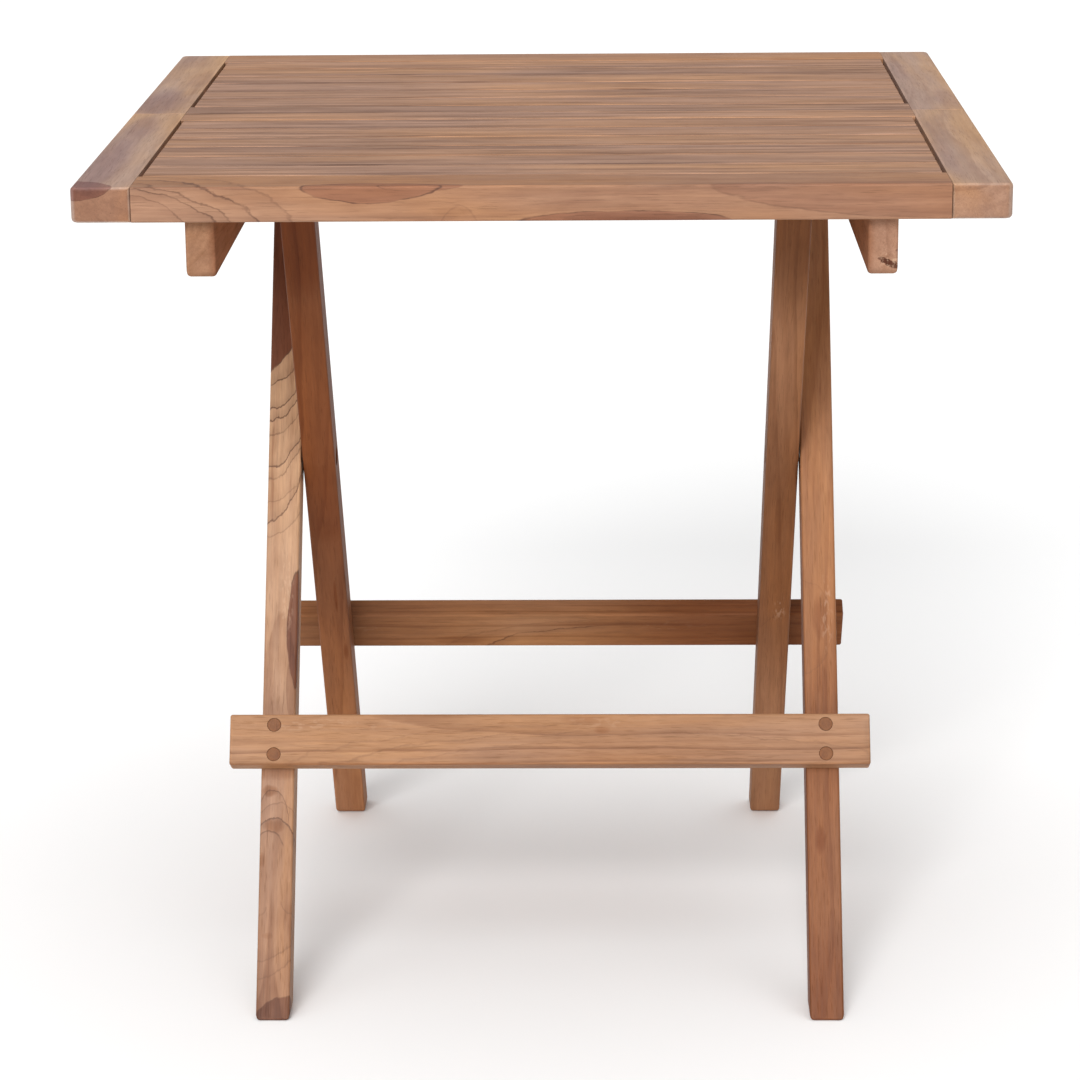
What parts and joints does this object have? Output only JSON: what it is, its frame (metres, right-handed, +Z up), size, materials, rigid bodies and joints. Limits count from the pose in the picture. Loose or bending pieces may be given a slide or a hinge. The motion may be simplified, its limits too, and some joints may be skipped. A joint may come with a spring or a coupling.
{
  "type": "folding picnic table",
  "caption": "Square slatted teak picnic table: two hinged leaves on crossed legs. Lifting the middle folds the leaves down and closes the legs.",
  "frame": {"origin": "on the floor, under the centre of the table", "axes": "+X to the right along the seam between the leaves, +Y to the back, +Z up"},
  "size_m": [0.7, 0.7, 0.712],
  "materials": {
    "teak_top": "sanded bare teak, greyed tan, matt",
    "teak_rail": "sanded bare teak, warm tan with dark streaks, matt",
    "teak_frame": "sanded bare teak, reddish tan, matt",
    "teak_plug": "end-grain teak plug, sanded, matt",
    "steel": "satin stainless steel"
  },
  "bodies": {
    "outer_legs": {"outer_leg_left": "teak_frame", "outer_leg_right": "teak_frame", "front_stretcher": "teak_frame", "front_plug_left_lower": "teak_plug", "front_plug_left_upper": "teak_plug", "front_plug_right_lower": "teak_plug", "front_plug_right_upper": "teak_plug", "crossing_bolt_left": "steel", "crossing_bolt_right": "steel"},
    "back_leaf": {"back_end_board_left": "teak_top", "back_end_board_right": "teak_top", "back_outer_rail": "teak_rail", "back_seam_rail": "teak_top", "back_slat_1": "teak_top", "back_slat_2": "teak_top", "back_slat_3": "teak_top", "back_slat_4": "teak_top", "back_slat_5": "teak_top", "back_slat_6": "teak_top", "back_cleat_left": "teak_frame", "back_cleat_right": "teak_frame", "outer_leg_bolt_left": "steel", "outer_leg_bolt_right": "steel", "outer_leg_spacer_left": "steel", "outer_leg_spacer_right": "steel", "outer_leg_nut_left": "steel", "outer_leg_nut_right": "steel", "seam_bolt_left": "steel", "seam_bolt_right": "steel", "seam_nut_left": "steel", "seam_nut_right": "steel"},
    "front_leaf": {"front_end_board_left": "teak_top", "front_end_board_right": "teak_top", "front_outer_rail": "teak_rail", "front_seam_rail": "teak_top", "front_slat_1": "teak_top", "front_slat_2": "teak_top", "front_slat_3": "teak_top", "front_slat_4": "teak_top", "front_slat_5": "teak_top", "front_slat_6": "teak_top", "front_cleat_left": "teak_frame", "front_cleat_right": "teak_frame", "inner_leg_bolt_left": "steel", "inner_leg_bolt_right": "steel", "inner_leg_spacer_left": "steel", "inner_leg_spacer_right": "steel", "inner_leg_nut_left": "steel", "inner_leg_nut_right": "steel"},
    "inner_legs": {"inner_leg_left": "teak_frame", "inner_leg_right": "teak_frame", "back_stretcher": "teak_frame", "back_plug_left_lower": "teak_plug", "back_plug_left_upper": "teak_plug", "back_plug_right_lower": "teak_plug", "back_plug_right_upper": "teak_plug", "crossing_nut_left": "steel", "crossing_nut_right": "steel"}
  },
  "joints": [
    {"name": "leaf_fold", "type": "hinge", "parent": "back_leaf", "child": "front_leaf", "pos_m": [0, 0, 0.651], "axis": [1, 0, 0], "range_deg": [0, 180]},
    {"name": "outer_leg_pivot", "type": "hinge", "parent": "outer_legs", "child": "back_leaf", "pos_m": [0, 0.15021, 0.669], "axis": [1, 0, 0], "range_deg": [-117.06, 0]},
    {"name": "inner_leg_pivot", "type": "hinge", "parent": "front_leaf", "child": "inner_legs", "pos_m": [0, -0.15021, 0.669], "axis": [1, 0, 0], "range_deg": [-117.06, 0]}
  ],
  "couplings": [
    {"joint": "outer_leg_pivot", "follows": "leaf_fold", "ratio": -0.65007},
    {"joint": "inner_leg_pivot", "follows": "leaf_fold", "ratio": -0.65007}
  ]
}
